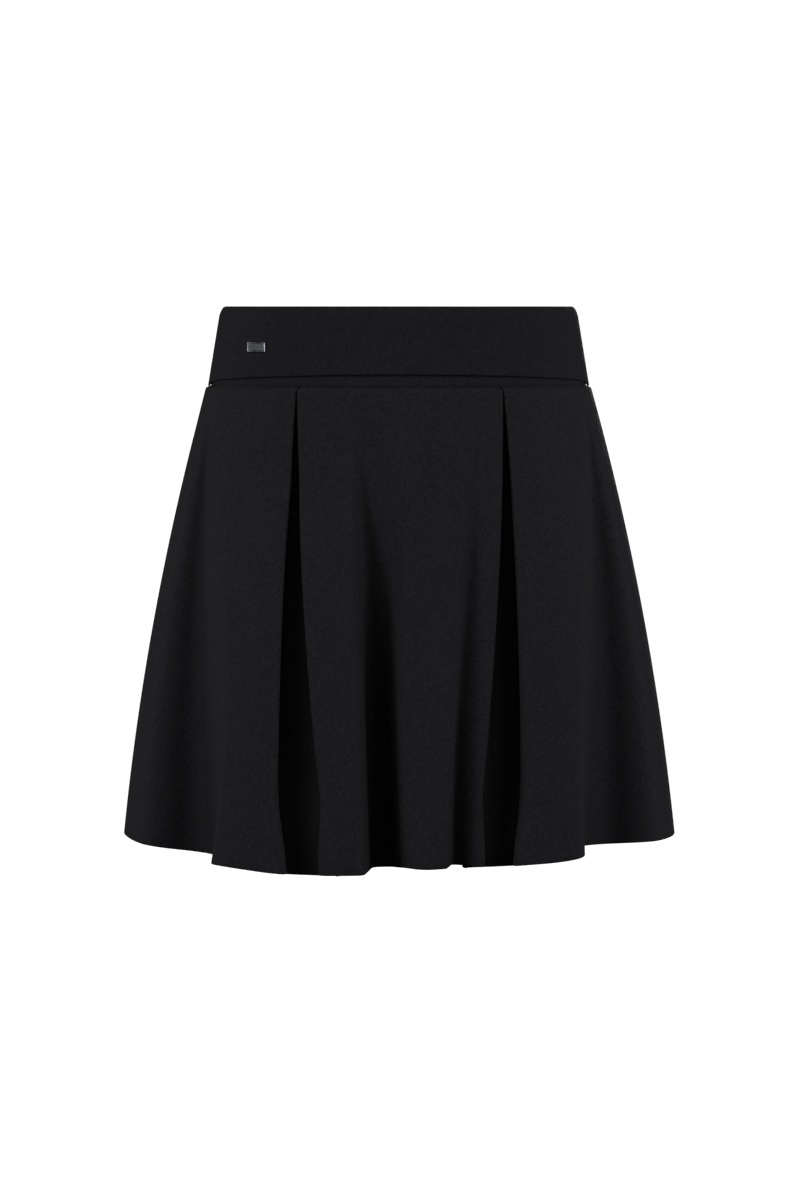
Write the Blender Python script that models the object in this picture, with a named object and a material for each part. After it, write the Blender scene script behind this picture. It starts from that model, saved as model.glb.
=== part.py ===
"""A flared sports skirt with a fold-over waistband and two inverted pleats, filled out as if it were worn.

Metres, +Z up. The front faces -Y, and +X is on the right of someone who looks at the front. The origin is the
middle of the waist opening, level with the waistband's top edge, where the wearer's waist holds the skirt.

The skirt is drawn as rings, one for each height. A ring starts as a smooth oval, and its folds and pleats
are laid out on the oval unrolled flat: how far along it a corner is, and how far it stands proud of it. The
corners are rounded, the line is wrapped back on its oval, and the rings together make the cloth.
"""

import math
from collections import namedtuple

import bpy
import numpy as np

MM = 0.001

# Driving dimensions, along the middle of the cloth's thickness
WAIST_WIDTH = 0.2528
WAIST_DEPTH = 0.1940
SEAM_WIDTH = 0.2716
SEAM_DEPTH = 0.2080
HEM_WIDTH = 0.3996
HEM_DEPTH = 0.2600
BAND_HEIGHT = 0.0566
SKIRT_DROP = 0.3312

# Cloth
CLOTH = 1.3 * MM
LAYER = 2.6 * MM  # from the middle of one layer to the middle of the next, where the cloth lies double
SEAM_GAP = 0.4 * MM  # between two pieces that are sewn together

# Flare of the skirt: it leaves the seam steeply and straightens towards the hem
FLARE_EASE = 0.46
SHOULDER = 3.7 * MM  # how far the skirt swells out from under the flap
SHOULDER_START = 1.0 * MM  # how far below the seam it begins to
SHOULDER_HEIGHT = 2.5 * MM
FOLD_GROWTH = 0.8  # below 1, a fold deepens fastest where it begins

# Waistband: a tube folded down over itself, so that its flap hides most of the inner layer
FLAP_LIFT_SIDE = 0.9 * MM  # height of the flap's free edge above the seam, towards the sides
FLAP_LIFT_FRONT = 8.8 * MM  # and at the middle of the front and back
FLAP_DIP = 2.0 * MM  # how much lower it hangs at the sides themselves, just above the skirt's shoulder
FLAP_DIP_REACH = 0.12  # in the cosine of the turn from the front
TOP_LEAN = 2.4 * MM  # how far the top fold leans in
TOP_LEAN_HEIGHT = 8.0 * MM
BAND_COLUMNS = 28
LEG_ROWS = 3
LEG_CROWDING = 1.6  # above 1, the rows crowd towards the top fold
ROLL_ROWS = 4

# Metal plate on the waistband: plain, with no lettering
PLATE_TURN = math.radians(-48.6)
PLATE_MIDDLE = -0.0288
PLATE_WIDTH = 16.4 * MM
PLATE_HEIGHT = 7.0 * MM
PLATE_UPRIGHT = -1.43  # radians of turn for each metre up: the band tapers, and this keeps the ends upright
PLATE_THICKNESS = 0.9 * MM
PLATE_EDGE = 0.2 * MM
PLATE_COLUMNS = 8

# Pleats: each is stitched shut at the seam and opens downwards on an underlay
PLEAT_DEPTH = 20 * MM  # width of each return, from the pleat's crease to its inner fold
PLEAT_SHUT = (CLOTH + SEAM_GAP) / 2  # half the distance between the two creases at the seam
PLEAT_START = 0.20  # the share of the drop where the cloth beside a pleat starts to swing
PLEAT_WIDEST = 0.83  # the share of the drop where a pleat stands widest open
PLEAT_CLOSING = 0.37  # the share of that width it has lost again at the hem
PLEAT_RELAX = 0.72  # the share of the drop where the creases begin to relax
PLEAT_CREASE = 1.0 * MM  # where the bend of a crease starts, from its corner
PLEAT_ROLL = 11 * MM  # and at the hem, where the crease has become a roll
RETURN_RELAX = 0.45  # at the hem, the back of the crease lies this far along the return
UNDERLAY_DROP = 3.5 * MM  # the underlay hangs straighter, so its hem is lower

SKIRT_ROWS = 11
ROW_CROWDING = 1.35  # above 1, the rings crowd towards the seam
FOLD_SAMPLES = 2  # points to a fold's corner
PLEAT_SAMPLES = 3  # points to a pleat's corner
OVAL_STEPS = 1441

# seam_turn, middle_turn and hem_turn: degrees round from the front, at the seam, halfway down and at the hem
# proud: millimetres out of the smooth oval at the hem
# drop: millimetres that the hem hangs lower there
# start: the share of the drop where the fold begins
# bend: millimetres from the corner to where its bend starts, or to halfway to the next corner if nearer
Fold = namedtuple("Fold", "seam_turn middle_turn hem_turn proud drop start bend")
FRONT_LEFT = {
    "beside_seam": Fold(-73.0, -73.0, -73.0, 2.5, -0.8, 0.07, 60),
    "side_slope": Fold(-71.0, -66.4, -62.6, 2.5, 0.0, 0.17, 60),
    "side_valley": Fold(-69.5, -61.9, -55.1, -33.3, 6.0, 0.08, 60),
    "pocket": Fold(-68.0, -51.4, -42.7, -19.4, 4.4, 0.11, 14),
    "corner": Fold(-66.0, -42.6, -38.7, 15.9, 3.8, 0.29, 4),
    "face": Fold(-45.0, -33.5, -29.3, 21.5, 5.0, 0.17, 60),
    "beside_pleat": Fold(-35.0, -30.3, -24.8, 22.1, 6.2, 0.16, 60),
}
FRONT_CENTRE = {
    "beside_left_pleat": Fold(-26.0, -17.7, -11.2, 20.3, 6.6, 0.22, 60),
    "tall_ridge": Fold(-12.9, -8.9, -6.4, 27.4, 4.8, 0.14, 6),
    "deep_valley": Fold(-11.3, -8.5, -5.9, -30.3, 8.6, 0.08, 10),
    "valley_floor": Fold(-0.1, -2.4, -1.8, -31.2, 8.4, 0.27, 8),
    "low_ridge_left": Fold(3.6, 0.8, 1.0, 8.2, 2.4, 0.11, 4),
    "low_ridge": Fold(8.0, 6.8, 4.9, 11.5, 3.8, 0.48, 60),
    "low_ridge_right": Fold(20.0, 13.7, 9.3, 8.8, 3.4, 0.21, 2),
    "small_valley": Fold(26.3, 14.8, 11.3, -15.2, 4.4, 0.12, 6),
    "beside_right_pleat": Fold(27.0, 19.5, 15.3, -0.9, 3.4, 0.21, 60),
}
FRONT_RIGHT = {
    "beside_pleat": Fold(36.0, 30.7, 25.5, 3.3, 3.9, 0.17, 60),
    "face": Fold(45.0, 36.1, 34.0, 8.3, 2.5, 0.11, 60),
    "corner": Fold(66.0, 47.4, 40.3, 6.4, 0.8, 0.26, 9),
    "pocket": Fold(68.0, 53.2, 45.1, -23.5, -1.9, 0.13, 12),
    "side_valley": Fold(69.5, 63.4, 57.9, -32.2, 0.6, 0.06, 60),
    "side_slope": Fold(71.0, 67.5, 63.7, 2.5, -2.8, 0.17, 60),
    "beside_seam": Fold(73.0, 73.0, 73.0, 2.1, -1.4, 0.00, 60),
}
BACK = {
    "beside_right_seam": Fold(79, 79, 80, 3, -1.0, 0.02, 60),
    "right_lobe": Fold(95, 95, 96, 4, 0, 0.02, 60),
    "right_hollow": Fold(108, 109, 110, -14, 0, 0.15, 60),
    "right_ridge": Fold(120, 121, 121, 13, 0, 0.20, 60),
    "right_ridge_foot": Fold(131, 131, 131, 10, 1, 0.20, 60),
    "inner_right_hollow": Fold(142, 142, 141, -17, 1, 0.25, 60),
    "inner_right_ridge": Fold(155, 154, 153, 14, 1, 0.30, 60),
    "middle_right": Fold(168, 168, 167, 7, 1, 0.30, 60),
    "middle_hollow": Fold(180, 180, 179, -11, 1, 0.35, 60),
    "middle_left": Fold(192, 192, 192, 8, 1, 0.30, 60),
    "inner_left_ridge": Fold(205, 206, 206, 13, 1, 0.25, 60),
    "inner_left_hollow": Fold(218, 218, 219, -18, 1, 0.22, 60),
    "left_ridge_foot": Fold(229, 230, 230, 9, 1, 0.20, 60),
    "left_ridge": Fold(240, 240, 240, 12, 0, 0.20, 60),
    "left_hollow": Fold(252, 252, 251, -13, 0, 0.15, 60),
    "left_lobe": Fold(265, 264, 264, 4, 0, 0.10, 60),
    "beside_left_seam": Fold(281, 281, 280, 1, -0.4, 0.10, 60),
}

# wide: millimetres between the creases where the pleat stands widest. The other columns are as for a fold.
Pleat = namedtuple("Pleat", "seam_turn middle_turn hem_turn proud drop wide")
LEFT_PLEAT = Pleat(-30.9, -23.8, -18.4, 21.0, 6.8, 27.9)
RIGHT_PLEAT = Pleat(31.8, 25.8, 21.0, -1.4, 4.9, 28.0)

# A corner of a ring: its distance round the oval from the middle of the front, then as for a fold, in metres
Corner = namedtuple("Corner", "along proud drop bend samples")

CLOTH_COLOUR = (0.012, 0.012, 0.013)
PLATE_COLOUR = (0.075, 0.077, 0.082)


def clear_scene():
    for obj in list(bpy.data.objects):
        bpy.data.objects.remove(obj, do_unlink=True)


def make_material(name, colour, roughness, metallic):
    material = bpy.data.materials.new(name)
    material.use_nodes = True
    material.diffuse_color = (*colour, 1)
    shader = material.node_tree.nodes["Principled BSDF"]
    shader.inputs["Base Color"].default_value = (*colour, 1)
    shader.inputs["Roughness"].default_value = roughness
    shader.inputs["Metallic"].default_value = metallic
    return material


def between(start, end, share):
    return start + (end - start) * share


def eased(share):
    """0 to 1 with a level start and end, as share goes from 0 to 1."""
    share = min(max(share, 0), 1)
    return share * share * (3 - 2 * share)


def turn_at(fold, share):
    """How far round from the front a fold or pleat is, in radians, smoothly through its three turns."""
    at_seam = (2 * share - 1) * (share - 1)
    at_middle = 4 * share * (1 - share)
    at_hem = share * (2 * share - 1)
    turn = at_seam * fold.seam_turn + at_middle * fold.middle_turn + at_hem * fold.hem_turn
    return math.radians(turn)


def grown(share, start):
    """How much of its size at the hem a fold has, at this share of the skirt's drop."""
    return max(0, (share - start) / (1 - start)) ** FOLD_GROWTH


class Oval:
    """A level ellipse, with a place given by its distance round from the middle of the front."""

    def __init__(self, half_width, half_depth):
        self.half_width = half_width
        self.half_depth = half_depth
        self.turns = np.linspace(-math.pi, 2 * math.pi, OVAL_STEPS)
        speeds = self.speed(self.turns)
        steps = (speeds[1:] + speeds[:-1]) / 2 * np.diff(self.turns)
        self.distances = np.concatenate([[0], np.cumsum(steps)])
        self.distances -= np.interp(0, self.turns, self.distances)
        self.length = self.distance(math.pi) - self.distance(-math.pi)

    def speed(self, turn):
        """How far a place moves along the oval for each radian of turn."""
        return np.hypot(self.half_width * np.cos(turn), self.half_depth * np.sin(turn))

    def distance(self, turn):
        return float(np.interp(turn, self.turns, self.distances))

    def at_turn(self, turn, proud):
        """The place at this turn from the front, moved out square to the oval."""
        out = np.array([math.sin(turn) / self.half_width, -math.cos(turn) / self.half_depth])
        out /= np.linalg.norm(out)
        x, y = self.half_width * math.sin(turn), -self.half_depth * math.cos(turn)
        return x + proud * out[0], y + proud * out[1]

    def at_distance(self, distance, proud):
        return self.at_turn(float(np.interp(distance, self.distances, self.turns)), proud)


# ---- The skirt ----


def skirt_oval(share):
    """The smooth oval at this share of the skirt's drop, before any fold."""
    flare = share * (1 + FLARE_EASE * (1 - share))
    shoulder = SHOULDER * eased((SKIRT_DROP * share - SHOULDER_START) / SHOULDER_HEIGHT)
    half_width = SEAM_WIDTH / 2 + shoulder + ((HEM_WIDTH - SEAM_WIDTH) / 2 - SHOULDER) * flare
    half_depth = SEAM_DEPTH / 2 + shoulder + ((HEM_DEPTH - SEAM_DEPTH) / 2 - SHOULDER) * flare
    return Oval(half_width, half_depth)


def fold_corners(folds, oval, share):
    corners = []
    for fold in folds.values():
        along = oval.distance(turn_at(fold, share))
        proud = fold.proud * MM * grown(share, fold.start)
        corners.append(Corner(along, proud, fold.drop * MM, fold.bend * MM, FOLD_SAMPLES))
    return corners


def pleat_opening(pleat, share):
    """Half the distance between the pleat's two creases."""
    widening = min(share / PLEAT_WIDEST, 1)
    closing = 1 - PLEAT_CLOSING * eased((share - PLEAT_WIDEST) / (1 - PLEAT_WIDEST))
    return PLEAT_SHUT + pleat.wide * MM / 2 * widening * closing


def pleat_side(pleat, side, oval, share):
    """One side of a pleat (-1 left, 1 right): its crease, then its inner fold, each front and back.

    As the creases move apart, each return keeps its width, so it swings back into the skirt.
    """
    middle = oval.distance(turn_at(pleat, share))
    proud = pleat.proud * MM * grown(share, PLEAT_START)
    opening = pleat_opening(pleat, share)
    swing = math.sqrt(PLEAT_DEPTH**2 - (PLEAT_DEPTH + PLEAT_SHUT - opening) ** 2)
    relax = eased((share - PLEAT_RELAX) / (1 - PLEAT_RELAX))
    crease = middle + side * opening
    inner = middle + side * (PLEAT_DEPTH + PLEAT_SHUT)
    inner_proud = proud - LAYER - swing
    back = between(crease, inner, RETURN_RELAX * relax)
    back_proud = between(proud - LAYER, inner_proud, RETURN_RELAX * relax)
    front_drop = pleat.drop * MM
    bend = between(PLEAT_CREASE, PLEAT_ROLL, relax)
    return [
        Corner(crease, proud, front_drop, bend, PLEAT_SAMPLES),
        Corner(back, back_proud, front_drop, bend, PLEAT_SAMPLES),
        Corner(inner, inner_proud, front_drop + UNDERLAY_DROP, PLEAT_CREASE, PLEAT_SAMPLES),
        Corner(inner, inner_proud - LAYER, front_drop + UNDERLAY_DROP, PLEAT_CREASE, PLEAT_SAMPLES),
    ]


def ring_panels(oval, share):
    """The ring's corners at this share of the drop, for each panel, anticlockwise from the left side seam."""
    left_of_left = pleat_side(LEFT_PLEAT, -1, oval, share)
    right_of_left = pleat_side(LEFT_PLEAT, 1, oval, share)[::-1]
    left_of_right = pleat_side(RIGHT_PLEAT, -1, oval, share)
    right_of_right = pleat_side(RIGHT_PLEAT, 1, oval, share)[::-1]
    centre = fold_corners(FRONT_CENTRE, oval, share)
    return {
        "skirt_front_left": fold_corners(FRONT_LEFT, oval, share) + left_of_left[:3],
        "pleat_underlay_left": left_of_left[3:] + right_of_left[:1],
        "skirt_front_centre": right_of_left[1:] + centre + left_of_right[:3],
        "pleat_underlay_right": left_of_right[3:] + right_of_right[:1],
        "skirt_front_right": right_of_right[1:] + fold_corners(FRONT_RIGHT, oval, share),
        "skirt_back": fold_corners(BACK, oval, share),
    }


def flat(corner):
    """A corner's distance round, how far it is proud, and its drop."""
    return np.array([corner.along, corner.proud, corner.drop])


def bent(before, corner, after):
    """Points of the bend that rounds a corner: a parabola between the lines to the corners beside it."""
    here = flat(corner)
    ends = []
    for other in (before, after):
        line = other - here
        reach = np.linalg.norm(line[:2])
        ends.append(here + line * min(corner.bend / reach, 0.5))
    shares = (np.arange(corner.samples) + 0.5) / corner.samples
    return [(1 - t) ** 2 * ends[0] + 2 * t * (1 - t) * here + t**2 * ends[1] for t in shares]


def seam_end(last, first, side):
    """Where a panel ends: halfway to the next panel's first corner, and side (-1 or 1) half gaps on."""
    line = first - last
    return (first + last) / 2 + side * SEAM_GAP / 2 * line / np.linalg.norm(line[:2])


def skirt_ring(share):
    """The points of each panel round one ring."""
    oval = skirt_oval(share)
    panels = ring_panels(oval, share)
    names = list(panels)
    whole_turn = np.array([oval.length, 0, 0])
    corners = [corner for name in names for corner in panels[name]]
    places = [flat(corners[-1]) - whole_turn, *map(flat, corners), flat(corners[0]) + whole_turn]
    height = -BAND_HEIGHT - SEAM_GAP / 2 - SKIRT_DROP * share
    ring = {}
    index = 0
    for name in names:
        line = [seam_end(places[index], places[index + 1], 1)]
        for corner in panels[name]:
            line += bent(places[index], corner, places[index + 2])
            index += 1
        line.append(seam_end(places[index], places[index + 1], -1))
        ring[name] = [(*oval.at_distance(along, proud), height - drop * share) for along, proud, drop in line]
    return ring


# ---- The waistband ----


def band_oval(height):
    """The band's inner layer at this height."""
    rise = 1 + height / BAND_HEIGHT
    lean = TOP_LEAN * max(0, 1 + height / TOP_LEAN_HEIGHT) ** 2
    half_width = between(SEAM_WIDTH, WAIST_WIDTH, rise) / 2 - lean
    half_depth = between(SEAM_DEPTH, WAIST_DEPTH, rise) / 2 - lean
    return Oval(half_width, half_depth)


def band_place(turn, height, layer):
    """A place on the band at this height, moved out by layer from its inner layer."""
    return (*band_oval(height).at_turn(turn, layer), height)


def flap_lift(turn):
    """Height of the flap's free edge above the waist seam."""
    frontal = abs(math.cos(turn))
    dip = FLAP_DIP * math.exp(-((frontal / FLAP_DIP_REACH) ** 2))
    return between(FLAP_LIFT_SIDE, FLAP_LIFT_FRONT, frontal) - dip


def band_line(turn):
    """The band's line up the inner layer, over the top fold and down the flap."""
    roll = LAYER / 2
    top = -roll - CLOTH / 2
    seam = -BAND_HEIGHT + SEAM_GAP / 2
    flap_edge = -BAND_HEIGHT + flap_lift(turn)
    shares = [(row / LEG_ROWS) ** LEG_CROWDING for row in range(1, LEG_ROWS + 1)]
    line = [band_place(turn, between(top, seam, share), 0) for share in reversed(shares)]
    for row in range(ROLL_ROWS + 1):
        angle = math.pi * row / ROLL_ROWS
        line.append(band_place(turn, top + roll * math.sin(angle), roll * (1 - math.cos(angle))))
    line += [band_place(turn, between(top, flap_edge, share), LAYER) for share in shares]
    return line


# ---- Objects ----


def add_sheet(name, lines, thickness, material):
    """A closed wall of this thickness, half on each side of the sheet that the lines of points make."""
    columns = len(lines[0])
    points = [point for line in lines for point in line]
    faces = []
    for row in range(len(lines) - 1):
        for column in range(columns - 1):
            corner = row * columns + column
            faces.append((corner, corner + columns, corner + columns + 1, corner + 1))
    mesh = bpy.data.meshes.new(name)
    mesh.from_pydata(points, [], faces)
    mesh.materials.append(material)
    mesh.shade_smooth()
    sheet = bpy.data.objects.new(name, mesh)
    bpy.context.scene.collection.objects.link(sheet)
    wall = sheet.modifiers.new("Wall", "SOLIDIFY")
    wall.thickness = thickness
    wall.offset = 0
    return sheet


def ring_shares():
    """The shares of the drop that have a ring: two at the seam, one in the shoulder, then down to the hem."""
    seam = [0, SHOULDER_START / SKIRT_DROP, (SHOULDER_START + SHOULDER_HEIGHT / 2) / SKIRT_DROP]
    start = (SHOULDER_START + SHOULDER_HEIGHT) / SKIRT_DROP
    return seam + [between(start, 1, (row / SKIRT_ROWS) ** ROW_CROWDING) for row in range(SKIRT_ROWS + 1)]


def add_skirt(material):
    shares = ring_shares()
    rings = [skirt_ring(share) for share in shares]
    for name in rings[0]:
        add_sheet(name, [ring[name] for ring in rings], CLOTH, material)


def side_seam_turns():
    """How far round from the front the left and right side seams are, at the waist."""
    left = (FRONT_LEFT["beside_seam"].seam_turn + BACK["beside_left_seam"].seam_turn - 360) / 2
    right = (FRONT_RIGHT["beside_seam"].seam_turn + BACK["beside_right_seam"].seam_turn) / 2
    return math.radians(left), math.radians(right)


def add_waistband(material):
    left, right = side_seam_turns()
    gap = SEAM_GAP / SEAM_DEPTH  # as a turn: near the sides, a turn moves a point along half the depth
    for name, start, end in (
        ("waistband_front", left, right),
        ("waistband_back", right, left + 2 * math.pi),
    ):
        turns = np.linspace(start + gap, end - gap, BAND_COLUMNS + 1)
        add_sheet(name, [band_line(turn) for turn in turns], CLOTH, material)


def add_plate(material):
    out = LAYER + CLOTH / 2 + SEAM_GAP + PLATE_THICKNESS / 2
    half_turn = PLATE_WIDTH / 2 / band_oval(PLATE_MIDDLE).speed(PLATE_TURN)
    turns = np.linspace(PLATE_TURN - half_turn, PLATE_TURN + half_turn, PLATE_COLUMNS + 1)
    lines = []
    for up in (PLATE_HEIGHT / 2, -PLATE_HEIGHT / 2):
        lines.append([band_place(turn + up * PLATE_UPRIGHT, PLATE_MIDDLE + up, out) for turn in turns])
    plate = add_sheet("waistband_plate", lines, PLATE_THICKNESS, material)
    edge = plate.modifiers.new("Edge", "BEVEL")
    edge.width = PLATE_EDGE
    edge.segments = 2
    edge.angle_limit = math.radians(60)


def main():
    clear_scene()
    cloth = make_material("black_knit", CLOTH_COLOUR, 0.85, 0)
    metal = make_material("dark_metal", PLATE_COLOUR, 0.35, 1)
    add_skirt(cloth)
    add_waistband(cloth)
    add_plate(metal)


main()
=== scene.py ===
# %% [markdown]
# # A black flared sports skirt, filled out as if it were worn
#
# The skirt is cut from fine double-knit jersey: a waistband that folds down over itself, three front
# panels, two underlays behind the inverted pleats, and one plain back panel. A small blank metal plate
# sits on the band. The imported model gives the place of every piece. This script gives each one its real
# surface: thin cloth with soft folds, seams that dip where they are sewn, knit, thread and metal.
#
# Everything is in metres, +Z is up and the front faces -Y. The origin is the middle of the waist opening,
# level with the band's top edge.

# %% Load the frame
import math
from collections import namedtuple

import bmesh
import bpy
import numpy as np
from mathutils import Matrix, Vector


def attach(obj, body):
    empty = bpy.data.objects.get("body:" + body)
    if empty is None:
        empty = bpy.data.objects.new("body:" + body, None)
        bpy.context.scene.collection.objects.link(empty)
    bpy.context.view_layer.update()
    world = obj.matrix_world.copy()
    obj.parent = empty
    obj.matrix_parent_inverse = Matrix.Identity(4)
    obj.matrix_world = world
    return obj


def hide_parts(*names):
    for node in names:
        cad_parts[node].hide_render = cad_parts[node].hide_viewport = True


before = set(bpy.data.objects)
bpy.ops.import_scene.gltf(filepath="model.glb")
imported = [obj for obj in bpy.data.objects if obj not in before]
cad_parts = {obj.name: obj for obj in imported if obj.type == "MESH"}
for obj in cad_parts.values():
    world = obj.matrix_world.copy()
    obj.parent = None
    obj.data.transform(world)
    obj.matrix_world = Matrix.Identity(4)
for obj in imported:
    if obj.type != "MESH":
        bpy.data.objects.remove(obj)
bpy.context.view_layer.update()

print("nodes:", sorted(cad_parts))

# %% [markdown]
# ## Camera
#
# The picture was taken from waist height with a long lens, so the band's top edge looks like a straight
# line and the hem like a shallow bowl. A camera could be aimed with a constraint, but two numbers from
# the picture are enough: how far the lens reaches, and how far the waist lies above the middle of the
# picture. The same two numbers then turn any place on the skirt into a place in the picture.

# %% Camera
PICTURE_HEIGHT = 1200  # pixels
FOCAL_LENGTH = 3278  # the same, in pixels
WAIST_ABOVE_MIDDLE = 293  # pixels from the middle of the picture up to the level of the lens
SENSOR = 36  # millimetres along the picture's longer side
CAMERA_PLACE = (0.001, -2.4, -0.0005)


def add_object(name, data):
    """An object in the scene that shows this camera, mesh or light."""
    shown = bpy.data.objects.new(name, data)
    bpy.context.scene.collection.objects.link(shown)
    return shown


camera = add_object("camera", bpy.data.cameras.new("camera"))
camera.data.sensor_width = SENSOR
camera.data.lens = FOCAL_LENGTH / PICTURE_HEIGHT * SENSOR
camera.location = CAMERA_PLACE
camera.rotation_euler = (math.pi / 2 - math.atan(WAIST_ABOVE_MIDDLE / FOCAL_LENGTH), 0, 0)
bpy.context.scene.camera = camera
print("lens:", round(camera.data.lens, 2), "mm")

# %% [markdown]
# ## Sizes
#
# A skirt pattern starts from a few measures: the waist, the seam where the skirt joins the band, the hem,
# and the two lengths. All else is worked out from these, so that the skirt keeps its proportions. They
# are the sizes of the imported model, taken along the middle of the cloth's thickness.

# %% Sizes
MM = 0.001
WAIST_WIDTH = 0.2528
WAIST_DEPTH = 0.1940
SEAM_WIDTH = 0.2716
SEAM_DEPTH = 0.2080
HEM_WIDTH = 0.3996
HEM_DEPTH = 0.2600
BAND_HEIGHT = 0.0566
SKIRT_DROP = 0.3312
CLOTH = 1.3 * MM
LAYER = 2.6 * MM  # from the middle of one layer to the middle of the next, where the cloth lies double
SEAM_GAP = 0.4 * MM

FLARE_EASE = 0.46  # the flare leaves the seam steeply and straightens towards the hem
SEAM_SWELL = 1.2 * MM  # how far the bulk of the waist seam pushes the cloth beside it out
SEAM_DIP = 0.9 * MM  # how far a seam then draws the two edges that it joins in
SEAM_DIP_REACH = 2.2 * MM
SHOULDER = 3.7 * MM  # how far the skirt swells out from under the flap
SHOULDER_START = 0.7 * MM
SHOULDER_HEIGHT = 2.1 * MM
FOLD_GROWTH = 0.8  # below 1, a fold deepens fastest where it begins
print("the band's oval:", WAIST_WIDTH, "by", WAIST_DEPTH, "m; the hem's:", HEM_WIDTH, "by", HEM_DEPTH, "m")

# %% [markdown]
# ## Folds
#
# Cloth that is cut wider than the body falls in folds, and each fold runs from the waist seam to the hem.
# A simulation would find some folds, but not these ones. So each fold is a row of a table: where it
# starts at the seam, where it is halfway down and at the hem, how far it stands out there, and how
# sharply it bends. The back is not in the picture, so its folds are soft ones of the same size.

# %% Fold tables
# seam_turn, middle_turn and hem_turn: degrees round from the front, at the seam, halfway down and at the hem
# proud: millimetres out of the smooth oval at the hem
# drop: millimetres that the hem hangs lower there
# start: the share of the drop where the fold begins
# bend: millimetres from the corner to where its bend starts, where the corner is crisper than a soft one
SOFT_BEND = 60
Fold = namedtuple("Fold", "seam_turn middle_turn hem_turn proud drop start bend", defaults=[SOFT_BEND])
FRONT_LEFT = {
    "beside_seam": Fold(-73, -73, -73, 2.5, -0.8, 0.07),
    "side_slope": Fold(-71, -66.4, -62.6, 2.5, 0, 0.17),
    "side_valley": Fold(-69.5, -61.9, -55.1, -33.3, 6, 0.08),
    "pocket": Fold(-68, -51.4, -42.7, -19.4, 4.4, 0.11, 14),
    "corner": Fold(-66, -42.6, -38.7, 15.9, 3.8, 0.29, 4),
    "face": Fold(-45, -33.5, -29.3, 21.5, 5, 0.17),
    "beside_pleat": Fold(-35, -30.3, -24.8, 22.1, 6.2, 0.16),
}
FRONT_CENTRE = {
    "beside_left_pleat": Fold(-26, -17.7, -11.2, 20.3, 6.6, 0.22),
    "tall_ridge": Fold(-12.9, -8.9, -6.4, 27.4, 4.8, 0.14, 6),
    "deep_valley": Fold(-11.3, -8.5, -5.9, -30.3, 8.6, 0.08, 10),
    "valley_floor": Fold(-0.1, -2.4, -1.8, -31.2, 8.4, 0.27, 8),
    "low_ridge_left": Fold(3.6, 0.8, 1, 8.2, 2.4, 0.11, 4),
    "low_ridge": Fold(8, 6.8, 4.9, 11.5, 3.8, 0.48),
    "low_ridge_right": Fold(20, 13.7, 9.3, 8.8, 3.4, 0.21, 2),
    "small_valley": Fold(26.3, 14.8, 11.3, -15.2, 4.4, 0.12, 6),
    "beside_right_pleat": Fold(27, 19.5, 15.3, -0.9, 3.4, 0.21),
}
FRONT_RIGHT = {
    "beside_pleat": Fold(36, 30.7, 25.5, 3.3, 3.9, 0.17),
    "face": Fold(45, 36.1, 34, 8.3, 2.5, 0.11),
    "corner": Fold(66, 47.4, 40.3, 6.4, 0.8, 0.26, 9),
    "pocket": Fold(68, 53.2, 45.1, -23.5, -1.9, 0.13, 12),
    "side_valley": Fold(69.5, 63.4, 57.9, -32.2, 0.6, 0.06),
    "side_slope": Fold(71, 67.5, 63.7, 2.5, -2.8, 0.17),
    "beside_seam": Fold(73, 73, 73, 2.1, -1.4, 0),
}
BACK = {
    "beside_right_seam": Fold(79, 79, 80, 3, -1, 0.02),
    "right_lobe": Fold(95, 95, 96, 4, 0, 0.02),
    "right_hollow": Fold(108, 109, 110, -14, 0, 0.15),
    "right_ridge": Fold(120, 121, 121, 13, 0, 0.20),
    "right_ridge_foot": Fold(131, 131, 131, 10, 1, 0.20),
    "inner_right_hollow": Fold(142, 142, 141, -17, 1, 0.25),
    "inner_right_ridge": Fold(155, 154, 153, 14, 1, 0.30),
    "middle_right": Fold(168, 168, 167, 7, 1, 0.30),
    "middle_hollow": Fold(180, 180, 179, -11, 1, 0.35),
    "middle_left": Fold(192, 192, 192, 8, 1, 0.30),
    "inner_left_ridge": Fold(205, 206, 206, 13, 1, 0.25),
    "inner_left_hollow": Fold(218, 218, 219, -18, 1, 0.22),
    "left_ridge_foot": Fold(229, 230, 230, 9, 1, 0.20),
    "left_ridge": Fold(240, 240, 240, 12, 0, 0.20),
    "left_hollow": Fold(252, 252, 251, -13, 0, 0.15),
    "left_lobe": Fold(265, 264, 264, 4, 0, 0.10),
    "beside_left_seam": Fold(281, 281, 280, 1, -0.4, 0.10),
}
print(sum(map(len, (FRONT_LEFT, FRONT_CENTRE, FRONT_RIGHT, BACK))), "fold corners")

# %% [markdown]
# ## Pleats
#
# An inverted pleat is two folds of cloth that face each other. They are sewn shut for the first seven
# millimetres, and below that they part and show the underlay. A pleat could be pressed into a flat panel
# and left to a simulation. Here each side is four corners: the crease, front and back, and the inner
# fold, front and back. The strip between them, the return, keeps its width, so as the creases move apart
# it swings back into the skirt. Near the hem the creases relax into soft rolls.

# %% Pleat sizes
# wide: millimetres between the creases where the pleat stands widest. The other columns are as for a fold.
Pleat = namedtuple("Pleat", "seam_turn middle_turn hem_turn proud drop wide")
LEFT_PLEAT = Pleat(-30.9, -23.8, -18.4, 21.0, 6.8, 27.9)
RIGHT_PLEAT = Pleat(31.8, 25.8, 21.0, -1.4, 4.9, 28.0)

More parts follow.
